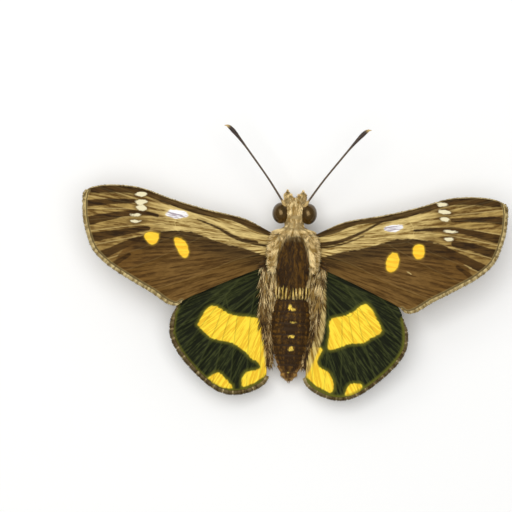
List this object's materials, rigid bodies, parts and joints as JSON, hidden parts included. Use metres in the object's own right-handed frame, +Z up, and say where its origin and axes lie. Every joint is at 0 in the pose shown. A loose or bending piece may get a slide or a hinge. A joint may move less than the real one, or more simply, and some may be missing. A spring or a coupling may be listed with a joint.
{
  "type": "moth",
  "caption": "Heavy-bodied day-flying moth standing with its wings spread flat, as a still life-size model.",
  "frame": {"origin": "on the surface that the moth stands on, under the middle of its bounding box", "axes": "+Z up, head towards -Y, the moth's left wing towards +X"},
  "size_m": [0.0964, 0.0618, 0.0144],
  "materials": {
    "golden_fur": "soft golden-brown hair scales",
    "body_fur": "dense dark brown hair scales",
    "eye": "dark glossy faceted cornea",
    "horn": "ringed dark horn, slightly glossy",
    "forewing_scales": "straw-brown wing scales with dark brown bands",
    "hindwing_scales": "dark olive-black wing scales with yellow patches",
    "leg_scales": "brown scaled legs"
  },
  "bodies": {
    "root": {"head": "golden_fur", "collar": "golden_fur", "thorax": "body_fur", "abdomen": "body_fur", "eye_left": "eye", "eye_right": "eye", "palp_left": "golden_fur", "palp_right": "golden_fur", "antenna_left": "horn", "antenna_right": "horn", "tegula_left": "golden_fur", "tegula_right": "golden_fur", "forewing_left": "forewing_scales", "forewing_right": "forewing_scales", "hindwing_left": "hindwing_scales", "hindwing_right": "hindwing_scales", "leg_fore_left": "leg_scales", "leg_fore_right": "leg_scales", "leg_mid_left": "leg_scales", "leg_mid_right": "leg_scales", "leg_hind_left": "leg_scales", "leg_hind_right": "leg_scales"}
  },
  "joints": []
}
